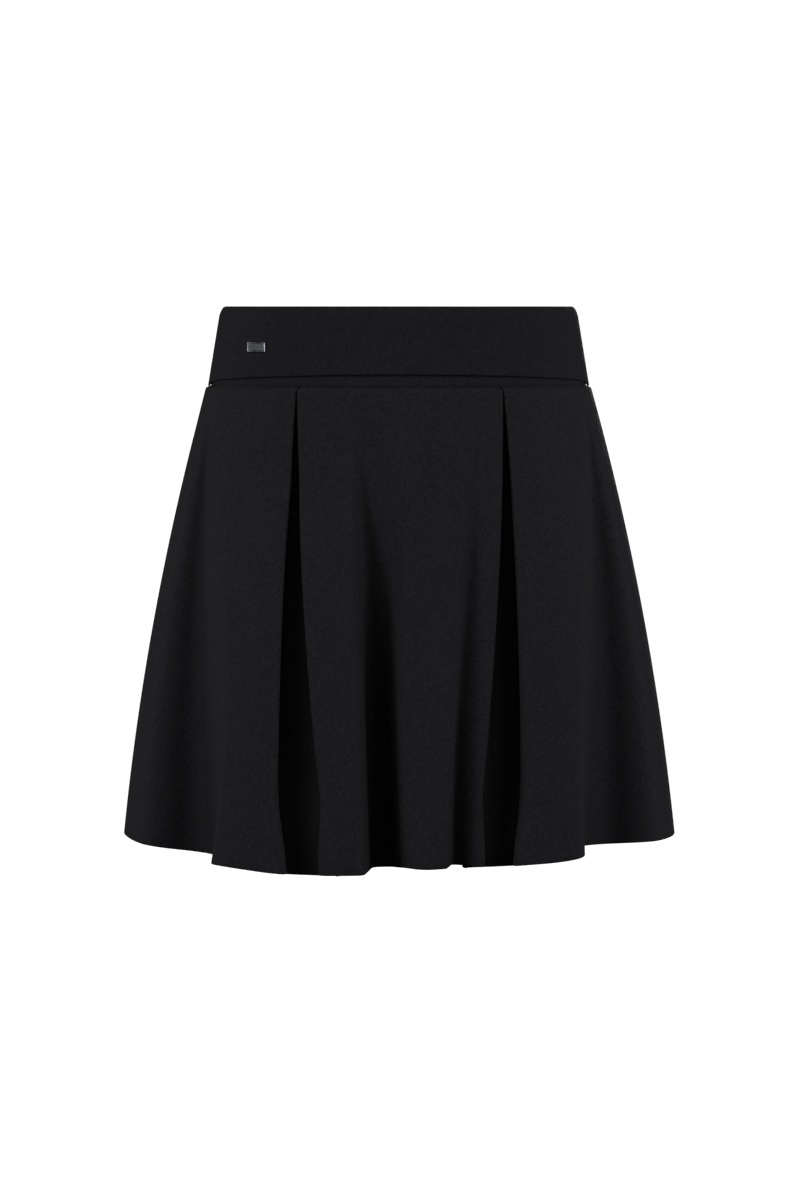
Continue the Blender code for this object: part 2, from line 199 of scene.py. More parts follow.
PLEAT_DEPTH = 20 * MM  # width of each return
PLEAT_SHUT = (CLOTH + SEAM_GAP) / 2  # half the distance between the creases where they are sewn shut
PLEAT_SEWN = 0.02  # the share of the drop down to which they are
PLEAT_START = 0.20  # the share of the drop where the cloth beside a pleat starts to swing
PLEAT_WIDEST = 0.83  # the share of the drop where a pleat stands widest open
PLEAT_CLOSING = 0.37  # the share of that width it has lost again at the hem
PLEAT_RELAX = 0.72  # the share of the drop where the creases begin to relax
PLEAT_CREASE = 1.0 * MM
PLEAT_ROLL = 11 * MM
RETURN_RELAX = 0.45  # at the hem, the back of the crease lies this far along the return
UNDERLAY_DROP = 3.5 * MM
print("each pleat takes", round(2 * PLEAT_DEPTH / MM), "mm of cloth behind its mouth")

# %% [markdown]
# ## A smooth oval, unrolled
#
# Seen from above, a waist is nearly an ellipse. Folds are easiest to lay out on that ellipse unrolled
# into a straight line, where a corner is just a distance along and a distance out. A table of the
# distance round the ellipse for each turn from the front rolls the line up again.

# %% Oval
OVAL_STEPS = 1440  # of the table, over one and a half rounds


class Oval:
    """A level ellipse, with a place given by its distance round from the middle of the front."""

    def __init__(self, half_width, half_depth):
        self.half_width = half_width
        self.half_depth = half_depth
        self.turns = np.linspace(-math.pi, 2 * math.pi, OVAL_STEPS + 1)
        speeds = self.speed(self.turns)
        steps = (speeds[1:] + speeds[:-1]) / 2 * np.diff(self.turns)
        self.distances = np.concatenate([[0], np.cumsum(steps)])
        self.distances -= np.interp(0, self.turns, self.distances)
        self.length = self.distance(math.pi) - self.distance(-math.pi)

    def speed(self, turn):
        """How far a place moves along the oval for each radian of turn."""
        return np.hypot(self.half_width * np.cos(turn), self.half_depth * np.sin(turn))

    def distance(self, turn):
        return float(np.interp(turn, self.turns, self.distances))

    def at_turn(self, turn, proud):
        """Places at these turns from the front, moved out square to the oval."""
        out = np.stack([np.sin(turn) / self.half_width, -np.cos(turn) / self.half_depth], axis=-1)
        out /= np.linalg.norm(out, axis=-1, keepdims=True)
        on_oval = np.stack([self.half_width * np.sin(turn), -self.half_depth * np.cos(turn)], axis=-1)
        return on_oval + np.asarray(proud)[..., None] * out

    def at_distance(self, distance, proud):
        return self.at_turn(np.interp(distance, self.distances, self.turns), proud)


def between(start, end, share):
    return start + (end - start) * share


def eased(share):
    """0 to 1 with a level start and end, as share goes from 0 to 1."""
    share = np.clip(share, 0, 1)
    return share * share * (3 - 2 * share)


print("round the waist:", round(Oval(WAIST_WIDTH / 2, WAIST_DEPTH / 2).length, 3), "m")

# %% [markdown]
# ## The skirt, ring by ring
#
# One ring of the skirt, at one height, is a line through all the corners of its folds and pleats, with
# each corner rounded by a parabola. The columns of the mesh have to follow the creases down the skirt, or
# a crisp crease would turn into a row of teeth. So a ring is divided from the top of one bend to the top
# of the next, with the same number of columns at every height, and the columns crowd where a bend is
# sharp.

# %% Corners of a ring
Corner = namedtuple("Corner", "along proud drop bend")


def turn_at(fold, share):
    """How far round from the front a fold or pleat is, in radians, smoothly through its three turns."""
    at_seam = (2 * share - 1) * (share - 1)
    at_middle = 4 * share * (1 - share)
    at_hem = share * (2 * share - 1)
    turn = at_seam * fold.seam_turn + at_middle * fold.middle_turn + at_hem * fold.hem_turn
    return math.radians(turn)


def grown(share, start):
    """How much of its size at the hem a fold has, at this share of the skirt's drop."""
    return max(0, (share - start) / (1 - start)) ** FOLD_GROWTH


def skirt_oval(share):
    """The smooth oval at this share of the skirt's drop, before any fold."""
    flare = share * (1 + FLARE_EASE * (1 - share))
    turned_out = eased((SKIRT_DROP * share - SHOULDER_START) / SHOULDER_HEIGHT)
    shoulder = between(SEAM_SWELL - SEAM_DIP, SHOULDER, turned_out)
    half_width = SEAM_WIDTH / 2 + shoulder + ((HEM_WIDTH - SEAM_WIDTH) / 2 - SHOULDER) * flare
    half_depth = SEAM_DEPTH / 2 + shoulder + ((HEM_DEPTH - SEAM_DEPTH) / 2 - SHOULDER) * flare
    return Oval(half_width, half_depth)


def fold_corners(folds, oval, share):
    corners = []
    for fold in folds.values():
        proud = fold.proud * MM * grown(share, fold.start)
        corners.append(Corner(oval.distance(turn_at(fold, share)), proud, fold.drop * MM, fold.bend * MM))
    return corners


def pleat_side(pleat, side, oval, share):
    """One side of a pleat (-1 left, 1 right): its crease, front and back, then its inner fold."""
    middle = oval.distance(turn_at(pleat, share))
    proud = pleat.proud * MM * grown(share, PLEAT_START)
    widening = np.clip((share - PLEAT_SEWN) / (PLEAT_WIDEST - PLEAT_SEWN), 0, 1)
    closing = 1 - PLEAT_CLOSING * eased((share - PLEAT_WIDEST) / (1 - PLEAT_WIDEST))
    opening = PLEAT_SHUT + pleat.wide * MM / 2 * widening * closing
    swing = math.sqrt(PLEAT_DEPTH**2 - (PLEAT_DEPTH + PLEAT_SHUT - opening) ** 2)
    relax = eased((share - PLEAT_RELAX) / (1 - PLEAT_RELAX))
    crease = middle + side * opening
    inner = middle + side * (PLEAT_DEPTH + PLEAT_SHUT)
    inner_proud = proud - LAYER - swing
    back = between(crease, inner, RETURN_RELAX * relax)
    back_proud = between(proud - LAYER, inner_proud, RETURN_RELAX * relax)
    front_drop = pleat.drop * MM
    bend = between(PLEAT_CREASE, PLEAT_ROLL, relax)
    return [
        Corner(crease, proud, front_drop, bend),
        Corner(back, back_proud, front_drop, bend),
        Corner(inner, inner_proud, front_drop + UNDERLAY_DROP, PLEAT_CREASE),
        Corner(inner, inner_proud - LAYER, front_drop + UNDERLAY_DROP, PLEAT_CREASE),
    ]


def ring_panels(oval, share):
    """The ring's corners for each panel, from the left side seam round the front."""
    left_of_left = pleat_side(LEFT_PLEAT, -1, oval, share)
    right_of_left = pleat_side(LEFT_PLEAT, 1, oval, share)[::-1]
    left_of_right = pleat_side(RIGHT_PLEAT, -1, oval, share)
    right_of_right = pleat_side(RIGHT_PLEAT, 1, oval, share)[::-1]
    centre = fold_corners(FRONT_CENTRE, oval, share)
    return {
        "skirt_front_left": fold_corners(FRONT_LEFT, oval, share) + left_of_left[:3],
        "pleat_underlay_left": left_of_left[3:] + right_of_left[:1],
        "skirt_front_centre": right_of_left[1:] + centre + left_of_right[:3],
        "pleat_underlay_right": left_of_right[3:] + right_of_right[:1],
        "skirt_front_right": right_of_right[1:] + fold_corners(FRONT_RIGHT, oval, share),
        "skirt_back": fold_corners(BACK, oval, share),
    }


print("corners to a ring:", sum(map(len, ring_panels(skirt_oval(1), 1).values())))

# %% From corners to points
COLUMN_SPACING = 3.0 * MM
CRISP_BEND = 13 * MM  # a corner whose bend is shorter than this has columns crowded round it
CROWDING = 4.0
CROWDED_REACH = 3.0 * MM
FEWEST_COLUMNS = 4  # from one bend to the next
HALF_BEND_STEPS = 10
STRAIGHT_STEPS = 12
LONGEST_BEND = 0.48  # the share of the way to the next corner, so that two bends never meet


def flat(corner):
    """A corner's distance round, how far it is proud, and its drop."""
    return np.array([corner.along, corner.proud, corner.drop])


def bend_halves(before, corner, after):
    """The two halves of the parabola that rounds a corner, which meet at its top."""
    here = flat(corner)
    ends = []
    for other in (before, after):
        line = other - here
        ends.append(here + line * min(corner.bend / np.linalg.norm(line[:2]), LONGEST_BEND))
    t = np.linspace(0, 1, 2 * HALF_BEND_STEPS + 1)[:, None]
    curve = (1 - t) ** 2 * ends[0] + 2 * t * (1 - t) * here + t**2 * ends[1]
    return curve[: HALF_BEND_STEPS + 1], curve[HALF_BEND_STEPS:]


def seam_end(last, first, side):
    """Where a panel ends: halfway to the next panel's first corner, and side (-1 or 1) half gaps on."""
    line = first - last
    return (first + last) / 2 + side * SEAM_GAP / 2 * line / np.linalg.norm(line[:2])


def stretches(oval, share):
    """Each panel's stretches from the top of one bend to the next: (points, crisp at start, crisp at end)."""
    panels = ring_panels(oval, share)
    whole_turn = np.array([oval.length, 0, 0])
    corners = [corner for panel in panels.values() for corner in panel]
    places = [flat(corners[-1]) - whole_turn, *map(flat, corners), flat(corners[0]) + whole_turn]
    found = {}
    index = 0
    for name, panel in panels.items():
        behind = seam_end(places[index], places[index + 1], 1)[None]
        crisp_behind = True
        found[name] = []
        for corner in panel:
            first_half, second_half = bend_halves(places[index], corner, places[index + 2])
            straight = np.linspace(behind[-1], first_half[0], STRAIGHT_STEPS + 1)
            crisp = corner.bend < CRISP_BEND
            points = np.concatenate([behind[:-1], straight, first_half[1:]])
            found[name].append((points, crisp_behind, crisp))
            behind = second_half
            crisp_behind = crisp
            index += 1
        end = seam_end(places[index], places[index + 1], -1)
        straight = np.linspace(behind[-1], end, STRAIGHT_STEPS + 1)
        found[name].append((np.concatenate([behind[:-1], straight]), crisp_behind, True))
    return found


def crowded_length(points, crisp_start, crisp_end):
    """The length along these points, counted more where the columns crowd."""
    steps = np.linalg.norm(np.diff(points[:, :2], axis=0), axis=1)
    length = np.concatenate([[0], np.cumsum(steps)])
    middles = (length[1:] + length[:-1]) / 2
    weight = 1 + CROWDING * crisp_start * np.exp(-middles / CROWDED_REACH)
    weight += CROWDING * crisp_end * np.exp(-(length[-1] - middles) / CROWDED_REACH)
    return np.concatenate([[0], np.cumsum(steps * weight)])


COLUMNS = {}
for name, panel in stretches(skirt_oval(1), 1).items():
    wanted = [math.ceil(crowded_length(*stretch)[-1] / COLUMN_SPACING) for stretch in panel]
    COLUMNS[name] = [max(FEWEST_COLUMNS, count) for count in wanted]


def skirt_ring(share):
    """The points of each panel round one ring."""
    oval = skirt_oval(share)
    height = -BAND_HEIGHT - SEAM_GAP / 2 - SKIRT_DROP * share
    ring = {}
    for name, panel in stretches(oval, share).items():
        line = []
        for columns, stretch in zip(COLUMNS[name], panel):
            length = crowded_length(*stretch)
            wanted = np.linspace(0, length[-1], columns + 1)
            picked = np.stack([np.interp(wanted, length, values) for values in stretch[0].T], axis=-1)
            line.append(picked if not line else picked[1:])
        along, proud, drop = np.concatenate(line).T
        places = oval.at_distance(along, proud)
        ring[name] = np.column_stack([places, height - drop * share])
    return ring


print("columns:", {name: sum(counts) for name, counts in COLUMNS.items()})

# %% [markdown]
# ## Cloth as a thin shell
#
# A sheet of cloth is a grid of places: its rows run down the garment, its columns along the panel.
# Solidify could thicken it, but here the wall is built by hand, because then its top and bottom edges can
# be rounded like a turned edge, and the unrolled cloth's own measures can go into the UV map. The knit
# then runs straight down every panel, as it does in a real cut piece, also where the panel is folded.
#
# Two pieces that are sewn together pull each other in, so each sewn side dips over its last two
# millimetres.

# %% Cloth helpers
EDGE_STEPS = 4  # divisions of the half round at a top or bottom edge
CLOTH_SHARP = 55  # degrees: an edge that turns more than this stays crisp


def unit(vectors):
    return vectors / np.maximum(np.linalg.norm(vectors, axis=-1, keepdims=True), 1e-12)


def outward(grid):
    """The direction out of the cloth at each place of a grid: its rows go down and its columns go round."""
    return unit(np.cross(np.gradient(grid, axis=0), np.gradient(grid, axis=1)))


def lengths_along(grid, axis):
    """The distance of each place from the first one of its row (axis 1) or column (axis 0)."""
    steps = np.linalg.norm(np.diff(grid, axis=axis), axis=-1)
    start = np.zeros_like(np.take(steps, [0], axis=axis))
    return np.cumsum(np.concatenate([start, steps], axis=axis), axis=axis)


def dipped_at_sides(grid):
    """The grid with its first and last columns drawn in, where they are sewn."""
    along = lengths_along(grid, 1)
    from_edge = np.minimum(along, along[:, -1:] - along)
    dip = SEAM_DIP * np.clip(1 - from_edge / SEAM_DIP_REACH, 0, 1) ** 2
    return grid - dip[..., None] * outward(grid)


def cloth_measures(grid):
    """Each place's distance from the panel's middle line, and its distance down, in the cloth laid flat."""
    along = lengths_along(grid, 1)
    return np.stack([along - along[:, -1:] / 2, lengths_along(grid, 0)], axis=-1)


def half_round(middle, down, out, thickness):
    """Rows round an edge, from its outer side (along out) past its tip (along down) to its inner side."""
    angles = math.pi / 2 - math.pi * np.arange(1, EDGE_STEPS) / EDGE_STEPS
    return [middle + thickness / 2 * (math.cos(a) * down + math.sin(a) * out) for a in angles]


def ring_faces(index):
    """The faces from each row of points to the next, where every row closes to a ring."""
    after = np.roll(index, -1, axis=1)
    return np.stack([index[:-1], after[:-1], after[1:], index[1:]], axis=-1).reshape(-1, 4).tolist()


def end_caps(index, grid_rows):
    """The faces that close a wall's two side edges."""
    caps = []
    for column, direction in ((0, -1), (-1, 1)):
        line = index[:, column].tolist()
        outer = line[:grid_rows]
        inner = line[grid_rows + EDGE_STEPS - 1 : 2 * grid_rows + EDGE_STEPS - 1][::-1]
        strips = [[outer[r], outer[r + 1], inner[r + 1], inner[r]] for r in range(grid_rows - 1)]
        strips += [line[grid_rows - 1 : grid_rows + EDGE_STEPS], line[-EDGE_STEPS:] + line[:1]]
        caps += [strip[::direction] for strip in strips]
    return caps


def write_uv(mesh, name, measures):
    """A UV map that gives each corner of a face the two measures of its point."""
    points = np.empty(len(mesh.loops), np.int32)
    mesh.loops.foreach_get("vertex_index", points)
    layer = mesh.uv_layers.new(name=name)
    layer.data.foreach_set("uv", measures.reshape(-1, 2)[points].astype(np.float32).ravel())


def smooth_object(name, mesh, material, sharp=180):
    """An object of this mesh, smooth but for the edges that turn by more than sharp degrees."""
    mesh.materials.append(material)
    mesh.shade_smooth()
    mesh.set_sharp_from_angle(angle=math.radians(sharp))
    return add_object(name, mesh)


def cloth_piece(name, grid, thickness, material):
    """A closed wall round a grid of places, with rounded top and bottom edges. Its UV holds flat measures."""
    out = outward(grid)
    side = out * thickness / 2
    bottom = half_round(grid[-1], unit(grid[-1] - grid[-2]), out[-1], thickness)
    top = half_round(grid[0], unit(grid[0] - grid[1]), -out[0], thickness)
    loops = np.concatenate([grid + side, bottom, (grid - side)[::-1], top])
    measures = cloth_measures(grid)
    at_bottom = measures[-1:].repeat(EDGE_STEPS - 1, 0)
    at_top = measures[:1].repeat(EDGE_STEPS - 1, 0)
    index = np.arange(loops.size // 3).reshape(loops.shape[:2])
    mesh = bpy.data.meshes.new(name)
    mesh.from_pydata(loops.reshape(-1, 3).tolist(), [], ring_faces(index.T) + end_caps(index, len(grid)))
    write_uv(mesh, "cloth", np.concatenate([measures, at_bottom, measures[::-1], at_top]))
    return smooth_object(name, mesh, material, CLOTH_SHARP)


print("edges are half rounds of", EDGE_STEPS, "steps")

# %% [markdown]
# ## Small creases
#
# Between its folds the knit is nearly smooth, but not quite. It sinks a little where a fold begins, and
# it pulls where a seam holds it. Noise would spread such marks evenly, which worn cloth never does. So
# each one is a row of a table: where its middle is, how long, wide and deep it is, and which way it
# leans. The back is not in the picture, so it gets others of the same kind.

# %% Small creases
# turn: degrees round from the front; height: millimetres above the waist opening; long, wide and deep: in
# millimetres, from the middle out, where a negative depth is a swelling; lean: degrees from upright
Crease = namedtuple("Crease", "turn height long wide deep lean")
SKIRT_CREASES = [
    Crease(-9, -96, 44, 10, 0.9, 9),
    Crease(3, -104, 40, 17, -0.8, -4),
    Crease(15, -128, 46, 9, 0.7, 12),
    Crease(-21, -132, 58, 12, 0.5, 3),
    Crease(-40, -88, 30, 9, 0.5, -12),
    Crease(-57, -78, 22, 7, 0.7, -24),
    Crease(-80, -98, 40, 11, -0.6, -9),
    Crease(41, -96, 34, 12, 0.4, 7),
    Crease(59, -74, 19, 7, 0.8, 27),
    Crease(82, -112, 48, 10, 0.6, 8),
    Crease(112, -82, 26, 9, 0.8, 16),
    Crease(133, -104, 43, 12, -0.7, 4),
    Crease(149, -78, 24, 8, 0.9, -13),
    Crease(163, -118, 52, 14, 0.6, 6),
    Crease(176, -86, 30, 9, 0.8, -3),
    Crease(193, -101, 38, 15, -0.9, -7),
    Crease(209, -76, 21, 8, 0.9, 19),
    Crease(228, -122, 50, 12, 0.6, -8),
    Crease(246, -84, 27, 8, 0.7, -18),
]
BAND_CREASES = [
    Crease(-72, -22, 13, 6, 0.4, -62),
    Crease(-17, -36, 22, 7, 0.3, -80),
    Crease(19, -17, 26, 9, 0.5, 74),
    Crease(44, -27, 17, 6, 0.4, 55),
    Crease(74, -35, 14, 6, 0.4, 68),
    Crease(108, -19, 16, 6, 0.5, -58),
    Crease(139, -31, 23, 8, 0.4, 77),
    Crease(171, -15, 28, 7, 0.5, -84),
    Crease(198, -37, 18, 6, 0.4, 66),
    Crease(236, -24, 20, 7, 0.5, -70),
    Crease(262, -34, 12, 5, 0.4, 49),
]


def creased(grid, creases):
    """The grid with each crease pressed into it, square to the cloth."""
    radius = np.hypot(grid[..., 0], grid[..., 1])
    turn = np.arctan2(grid[..., 0], -grid[..., 1])
    depth = np.zeros(turn.shape)
    for crease in creases:
        from_middle = turn - math.radians(crease.turn)
        across = radius * ((from_middle + math.pi) % (2 * math.pi) - math.pi)
        up = grid[..., 2] - crease.height * MM
        lean = math.radians(crease.lean)
        along_crease = (up * math.cos(lean) + across * math.sin(lean)) / (crease.long * MM)
        across_crease = (across * math.cos(lean) - up * math.sin(lean)) / (crease.wide * MM)
        depth += crease.deep * MM * np.exp(-(along_crease**2) - across_crease**2)
    return grid - depth[..., None] * outward(grid)


print(len(SKIRT_CREASES), "creases in the skirt,", len(BAND_CREASES), "in the band")

# %% [markdown]
# ## Black knit
#
# The cloth is a double-knit jersey of polyester and elastane, dyed black, with a matt face. Dyed black
# cloth sends back only about one part in a hundred of the light, and more of it at a grazing angle, where
# the fibres that stand off its face catch it. An image texture of a knit could be tiled over it, but the
# pattern is simple enough to draw with arithmetic: each wale is a ridge, and the courses lean up it from
# both sides, which makes the rows of small Vs. Real wales of such a knit are 0.6 mm apart and would not
# show, so they are drawn 1.1 mm apart. Each V is given a shade of its own, which is what gives a plain
# knit its fine grain.
#
# The band's knit is a copy of the skirt's, a shade darker: painted shade, for the upright band catching
# less of the light than the flared skirt below it.

# %% Node helpers
def linear(hex_colour):
    """An sRGB hex colour as the linear colour that shaders take."""
    channels = [int(hex_colour[i : i + 2], 16) / 255 for i in (1, 3, 5)]
    return (*[c / 12.92 if c <= 0.04045 else ((c + 0.055) / 1.055) ** 2.4 for c in channels], 1)


def set_inputs(node, inputs):
    """Each input gets a value, or a link from the output socket that is given for it."""
    for socket, value in inputs.items():
        if isinstance(value, bpy.types.NodeSocket):
            node.id_data.links.new(value, node.inputs[socket])
        else:
            node.inputs[socket].default_value = value


def add_node(tree, kind, inputs=None, **settings):
    """A new node with these settings and inputs; what comes back are its outputs."""
    node = tree.nodes.new(kind)
    for setting, value in settings.items():
        setattr(node, setting, value)
    set_inputs(node, inputs or {})
    return node.outputs


def counted_measures(tree, uv_map, across, down):
    """The measures in a UV map, counted in steps of these two sizes."""
    measures = add_node(tree, "ShaderNodeUVMap", uv_map=uv_map)[0]
    steps = {0: measures, 1: (1 / across, 1 / down, 0)}
    return add_node(tree, "ShaderNodeVectorMath", steps, operation="MULTIPLY")[0]


def new_material(name, view_colour):
    """A material with its node tree and its surface shader."""
    material = bpy.data.materials.new(name)
    material.use_nodes = True
    material.diffuse_color = linear(view_colour)
    return material, material.node_tree, material.node_tree.nodes["Principled BSDF"]


print("a black of #1d1d1f sends back", round(linear("#1d1d1f")[1], 4), "of the light")

# %% Knit
WALE = 1.1 * MM  # across one V
COURSE = 0.9 * MM  # up one V
KNIT_DARK = "#151517"
KNIT_LIGHT = "#1d1d1f"
# The band's two shades are the skirt's knit made darker, as painted shade
BAND_PAINTED_SHADE_DARK = "#131315"
BAND_PAINTED_SHADE_LIGHT = "#1a1a1c"
KNIT_ROUGHNESS = 0.88
KNIT_GLOSS = 0.02  # specular level: the gloss of the fibres is mostly lost between the loops
KNIT_SHEEN = 0.006
KNIT_SHEEN_SPREAD = 0.4  # roughness of the sheen
LOOP_HEIGHT = 0.12 * MM
LOOP_STRENGTH = 0.6
LOOP_WAVE = 0.3  # how high the wave up a wale is, beside the ridge of the wale


def knit_material(name, dark, light):
    """Rows of small Vs in the cloth's own measures, each V with a shade of its own."""
    material, tree, shader = new_material(name, light)
    counted = {0: counted_measures(tree, "cloth", WALE, COURSE)}
    across, down, _ = add_node(tree, "ShaderNodeSeparateXYZ", counted)
    from_side = add_node(tree, "ShaderNodeMath", {0: across, 1: 0.5}, operation="PINGPONG")[0]
    lean = add_node(tree, "ShaderNodeMath", {0: down, 1: from_side}, operation="SUBTRACT")[0]
    half_turns = add_node(tree, "ShaderNodeMath", {0: from_side, 1: math.pi}, operation="MULTIPLY")[0]
    ridge = add_node(tree, "ShaderNodeMath", {0: half_turns}, operation="SINE")[0]
    whole_turns = add_node(tree, "ShaderNodeMath", {0: lean, 1: 2 * math.pi}, operation="MULTIPLY")[0]
    wave = add_node(tree, "ShaderNodeMath", {0: whole_turns}, operation="SINE")[0]
    wave_and_ridge = {0: wave, 1: LOOP_WAVE, 2: ridge}
    loops = add_node(tree, "ShaderNodeMath", wave_and_ridge, operation="MULTIPLY_ADD")[0]
    place = add_node(tree, "ShaderNodeCombineXYZ", {0: across, 1: lean})[0]
    cell = add_node(tree, "ShaderNodeVectorMath", {0: place}, operation="FLOOR")[0]
    chance = add_node(tree, "ShaderNodeTexWhiteNoise", {"Vector": cell}, noise_dimensions="2D")["Value"]
    shades = {0: chance, 6: linear(dark), 7: linear(light)}
    relief = {"Distance": LOOP_HEIGHT, "Height": loops, "Strength": LOOP_STRENGTH}
    finish = {
        "Base Color": add_node(tree, "ShaderNodeMix", shades, data_type="RGBA")[2],
        "Normal": add_node(tree, "ShaderNodeBump", relief)[0],
        "Roughness": KNIT_ROUGHNESS,
        "Specular IOR Level": KNIT_GLOSS,
        "Sheen Weight": KNIT_SHEEN,
        "Sheen Roughness": KNIT_SHEEN_SPREAD,
    }
    set_inputs(shader, finish)
    return material


black_knit = knit_material("black_double_knit", KNIT_DARK, KNIT_LIGHT)
# The band's knit: a darker copy of the skirt's, as painted shade
band_knit_painted_shade = knit_material("black_knit_painted_shade", BAND_PAINTED_SHADE_DARK, BAND_PAINTED_SHADE_LIGHT)
print(black_knit.name, "has", len(black_knit.node_tree.nodes), "nodes")

# %% [markdown]
# ## Skirt panels
#
# Rings are stacked from the waist seam to the hem. The first ones lie close together, where the cloth
# turns out of the seam in a small shoulder, and the others are evenly spaced. Each panel is one cloth
# piece, named for the cut piece that it is.

# %% Skirt grids
SHOULDER_ROWS = 10
SHOULDER_REACH = 7.0 * MM
SHOULDER_CROWDING = 1.4  # above 1, the rows crowd towards the seam
ROW_SPACING = 3.0 * MM


def row_shares():
    """The shares of the drop that have a row: crowded in the shoulder, then even down to the hem."""
    shoulder = SHOULDER_REACH * (np.arange(SHOULDER_ROWS) / SHOULDER_ROWS) ** SHOULDER_CROWDING
    end = SKIRT_DROP - CLOTH / 2
    rest = np.linspace(SHOULDER_REACH, end, math.ceil((end - SHOULDER_REACH) / ROW_SPACING) + 1)
    return np.concatenate([shoulder, rest]) / SKIRT_DROP


skirt_rings = [skirt_ring(share) for share in row_shares()]
skirt_grids = {}
for name in COLUMNS:
    skirt_grids[name] = creased(np.array([ring[name] for ring in skirt_rings]), SKIRT_CREASES)
print(len(skirt_rings), "rings; widths at the hem:")
for name, grid in skirt_grids.items():
    print(" ", name, round(float(lengths_along(grid, 1)[-1, -1]), 3), "m")


# %% Skirt pieces
def sewn_pieces(grids, material):
    """A cloth piece for each grid, drawn in at its two sides, where it is sewn."""
    made = {}
    for name, grid in grids.items():
        made[name] = cloth_piece(name + "_cloth", dipped_at_sides(grid), CLOTH, material)
    print({piece.name: len(piece.data.polygons) for piece in made.values()})
    return made


skirt_pieces = sewn_pieces(skirt_grids, black_knit)

# %% [markdown]
# ## Fold-over waistband
#
# The band is a tube of knit, sewn from two halves and folded down over itself. It could be two separate
# layers, but one sheet keeps the fold at the top whole. Its line runs up the inner layer from the waist
# seam, over the soft fold, and down the flap to a free edge. That edge hangs a little higher in the
# middle of the front than at the sides, so a strip of the inner layer shows under it.

# %% Waistband
FLAP_LIFT_SIDE = 0.9 * MM  # height of the flap's free edge above the seam, towards the sides
FLAP_LIFT_FRONT = 8.8 * MM  # and at the middle of the front and back
FLAP_DIP = 2.3 * MM  # how much lower it hangs at the sides themselves, just above the skirt's shoulder
FLAP_DIP_REACH = 0.18  # in the cosine of the turn from the front
TOP_LEAN = 2.4 * MM  # how far the top fold leans in
TOP_LEAN_HEIGHT = 8.0 * MM
BAND_ROW_SPACING = 1.2 * MM
SWELL_HEIGHT = 7.0 * MM  # over which the inner layer comes out to the seam
ROLL_STEPS = 10
SIDE_SEAM_TURNS = (-76, 76)  # degrees round from the front


def band_oval(height):
    """The band's inner layer at this height."""
    rise = 1 + height / BAND_HEIGHT
    lean = TOP_LEAN * max(0, 1 + height / TOP_LEAN_HEIGHT) ** 2
    half_width = between(SEAM_WIDTH, WAIST_WIDTH, rise) / 2 - lean
    half_depth = between(SEAM_DEPTH, WAIST_DEPTH, rise) / 2 - lean
    return Oval(half_width, half_depth)


def band_place(turn, height, layer):
    """A place on the band at this height, moved out by layer from its inner layer."""
    return (*band_oval(height).at_turn(turn, layer), height)


def flap_lift(turn):
    """Height of the flap's free edge above the waist seam."""
    frontal = abs(math.cos(turn))
    dip = FLAP_DIP * math.exp(-((frontal / FLAP_DIP_REACH) ** 2))
    return between(FLAP_LIFT_SIDE, FLAP_LIFT_FRONT, frontal) - dip


def band_grid(start, end):
    """The band between two turns: up the inner layer, over the top fold, down the flap."""
    columns = math.ceil(band_oval(0).speed(0) * (end - start) / COLUMN_SPACING)
    legs = math.ceil(BAND_HEIGHT / BAND_ROW_SPACING)
    roll = LAYER / 2
    top = -roll - CLOTH / 2
    lines = []
    for turn in np.linspace(start, end, columns + 1):
        seam = -BAND_HEIGHT + SEAM_GAP / 2
        flap_edge = -BAND_HEIGHT + flap_lift(turn) + CLOTH / 2
        line = []
        for height in np.linspace(seam, top, legs + 1)[:-1]:
            swell = SEAM_SWELL * (1 - eased((height - seam) / SWELL_HEIGHT))
            dip = SEAM_DIP * max(0, 1 - (height - seam) / SEAM_DIP_REACH) ** 2
            line.append(band_place(turn, height, swell - dip))
        for angle in np.linspace(0, math.pi, ROLL_STEPS + 1):
            line.append(band_place(turn, top + roll * math.sin(angle), roll * (1 - math.cos(angle))))
        line += [band_place(turn, height, LAYER) for height in np.linspace(top, flap_edge, legs + 1)[1:]]
        lines.append(line)
    return creased(np.swapaxes(np.array(lines), 0, 1), BAND_CREASES)


left_turn, right_turn = map(math.radians, SIDE_SEAM_TURNS)
seam_turn = SEAM_GAP / SEAM_DEPTH  # near the sides, a turn moves a place along half the depth
band_grids = {
    "waistband_front": band_grid(left_turn + seam_turn, right_turn - seam_turn),
    "waistband_back": band_grid(right_turn + seam_turn, left_turn + 2 * math.pi - seam_turn),
}
band_pieces = sewn_pieces(band_grids, band_knit_painted_shade)

# %% [markdown]
# ## Small metal plate
#
# The plate is die-cast zinc alloy, fixed to the flap beside the left pleat. Its field lies a little lower
# than its rim. A flat plate would stand off the round band at its ends, so it is bent with the band. It
# could be cut from a block with a bevel, but its profile is easier to read as rings: they run from the
# middle line of its rear face out to its outline, and over the rim in to the middle line of its field.

# %% Plate
PLATE_TURN = math.radians(-48.6)
PLATE_MIDDLE = -0.0288
PLATE_WIDTH = 16.4 * MM
PLATE_HEIGHT = 7.0 * MM
PLATE_CORNER = 0.6 * MM
PLATE_UPRIGHT = -1.43  # radians of turn for each metre up: the band tapers, and this keeps the ends upright
PLATE_SIDE_STEPS = 16
PLATE_CORNER_STEPS = 6
PLATE_SHARP = 40  # degrees, as for the cloth
REAR_RING = 0.5  # the share of the way out to the outline where a ring divides the rear face
FIELD_RING = 0.6  # and the share of the way in to the middle line where one divides the field
